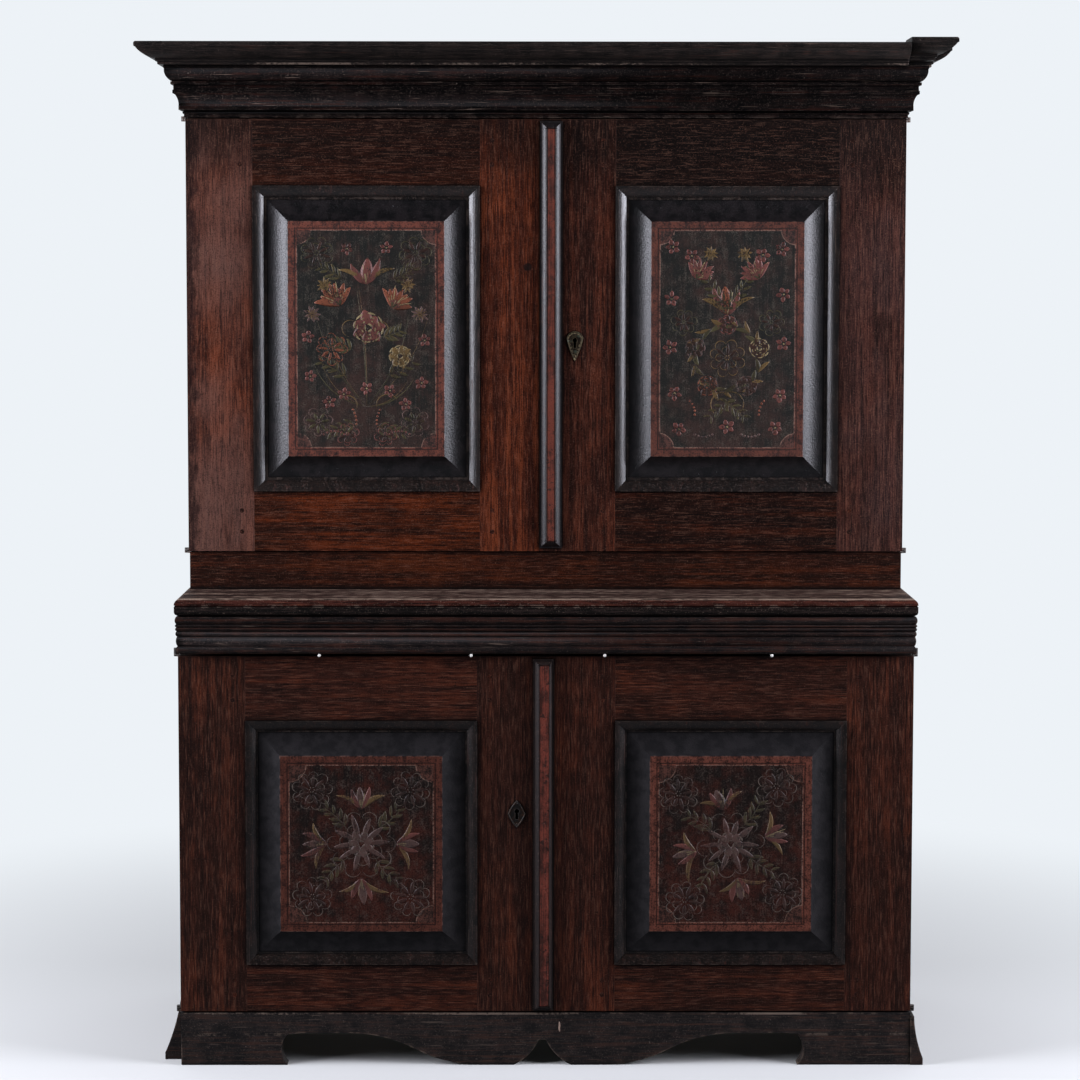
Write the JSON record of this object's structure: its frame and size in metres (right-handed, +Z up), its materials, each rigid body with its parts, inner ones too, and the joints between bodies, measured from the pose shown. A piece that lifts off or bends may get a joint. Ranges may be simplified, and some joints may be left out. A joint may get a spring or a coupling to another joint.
{
  "type": "court cupboard",
  "caption": "Two-stage painted pine court cupboard: set-back upper case with panelled doors under a moulded cornice, lower case with panelled doors on a shaped apron.",
  "frame": {"origin": "on the floor under the middle of the cupboard's outer box", "axes": "+Z up, +Y to the back, so the doors face -Y; +X to the right seen from the front"},
  "size_m": [1.44, 0.56, 1.8085],
  "materials": {
    "oxblood_paint": "worn dark red-brown stain over pine, satin",
    "black_paint": "worn black paint on pine, satin",
    "painted_panel": "black paint with a red border and painted flowers, worn",
    "bare_pine": "aged unpainted pine, matt",
    "wrought_iron": "forged iron, dull brown-black",
    "brass": "dark aged brass"
  },
  "bodies": {
    "case": {"lower_bottom_board": "bare_pine", "lower_top_board": "bare_pine", "lower_shelf": "bare_pine", "lower_back_boards": "bare_pine", "foot_glue_blocks": "bare_pine", "upper_bottom_board": "bare_pine", "upper_top_board": "bare_pine", "upper_shelves": "bare_pine", "upper_back_boards": "bare_pine", "dust_board": "bare_pine", "lower_sides": "oxblood_paint", "upper_sides": "oxblood_paint", "plinth_rail": "oxblood_paint", "frieze_rail": "oxblood_paint", "ledge_boards": "oxblood_paint", "waist_moulding": "black_paint", "apron_board": "black_paint", "foot_blocks": "black_paint", "side_skirts": "black_paint", "cornice_bed_moulding": "black_paint", "cornice_crown_moulding": "black_paint", "hinge_plates": "wrought_iron", "hinge_pins": "wrought_iron"},
    "upper_left_door_slide_bolt": {"upper_left_door_slide_bolt": "wrought_iron"},
    "upper_left_door": {"upper_left_door_stiles": "oxblood_paint", "upper_left_door_rails": "oxblood_paint", "upper_left_door_panel": "painted_panel", "upper_left_door_panel_moulding": "black_paint", "upper_left_door_pegs": "bare_pine", "upper_left_door_hinge_leaves": "wrought_iron", "upper_left_door_staples": "wrought_iron"},
    "upper_right_door_lock_bolt": {"upper_right_door_lock_bolt": "wrought_iron"},
    "upper_right_door": {"upper_right_door_stiles": "oxblood_paint", "upper_right_door_rails": "oxblood_paint", "upper_right_door_panel": "painted_panel", "upper_right_door_panel_moulding": "black_paint", "upper_right_door_pegs": "bare_pine", "upper_right_door_hinge_leaves": "wrought_iron", "upper_right_door_cover_strip": "oxblood_paint", "upper_right_door_escutcheon": "brass", "upper_right_door_lock_case": "wrought_iron"},
    "lower_left_door_lock_bolt": {"lower_left_door_lock_bolt": "wrought_iron"},
    "lower_left_door": {"lower_left_door_stiles": "oxblood_paint", "lower_left_door_rails": "oxblood_paint", "lower_left_door_panel": "painted_panel", "lower_left_door_panel_moulding": "black_paint", "lower_left_door_pegs": "bare_pine", "lower_left_door_hinge_leaves": "wrought_iron", "lower_left_door_cover_strip": "oxblood_paint", "lower_left_door_escutcheon": "wrought_iron", "lower_left_door_lock_case": "wrought_iron"},
    "lower_right_door_slide_bolt": {"lower_right_door_slide_bolt": "wrought_iron"},
    "lower_right_door": {"lower_right_door_stiles": "oxblood_paint", "lower_right_door_rails": "oxblood_paint", "lower_right_door_panel": "painted_panel", "lower_right_door_panel_moulding": "black_paint", "lower_right_door_pegs": "bare_pine", "lower_right_door_hinge_leaves": "wrought_iron", "lower_right_door_staples": "wrought_iron"}
  },
  "joints": [
    {"name": "upper_left_door_hinge", "type": "hinge", "parent": "case", "child": "upper_left_door", "pos_m": [-0.6455, -0.094, 1.284], "axis": [0, 0, -1], "range_deg": [0, 120]},
    {"name": "upper_left_door_slide_bolt_throw", "type": "slide", "parent": "upper_left_door", "child": "upper_left_door_slide_bolt", "axis": [0, 0, -1], "range_m": [0, 0.014]},
    {"name": "upper_right_door_hinge", "type": "hinge", "parent": "case", "child": "upper_right_door", "pos_m": [0.6455, -0.094, 1.284], "axis": [0, 0, 1], "range_deg": [0, 120]},
    {"name": "upper_right_door_lock_bolt_throw", "type": "slide", "parent": "upper_right_door", "child": "upper_right_door_lock_bolt", "axis": [-1, 0, 0], "range_m": [0, 0.018]},
    {"name": "lower_left_door_hinge", "type": "hinge", "parent": "case", "child": "lower_left_door", "pos_m": [-0.6495, -0.232, 0.4125], "axis": [0, 0, -1], "range_deg": [0, 120]},
    {"name": "lower_left_door_lock_bolt_throw", "type": "slide", "parent": "lower_left_door", "child": "lower_left_door_lock_bolt", "axis": [1, 0, 0], "range_m": [0, 0.018]},
    {"name": "lower_right_door_hinge", "type": "hinge", "parent": "case", "child": "lower_right_door", "pos_m": [0.6495, -0.232, 0.4125], "axis": [0, 0, 1], "range_deg": [0, 120]},
    {"name": "lower_right_door_slide_bolt_throw", "type": "slide", "parent": "lower_right_door", "child": "lower_right_door_slide_bolt", "axis": [0, 0, -1], "range_m": [0, 0.014]}
  ]
}
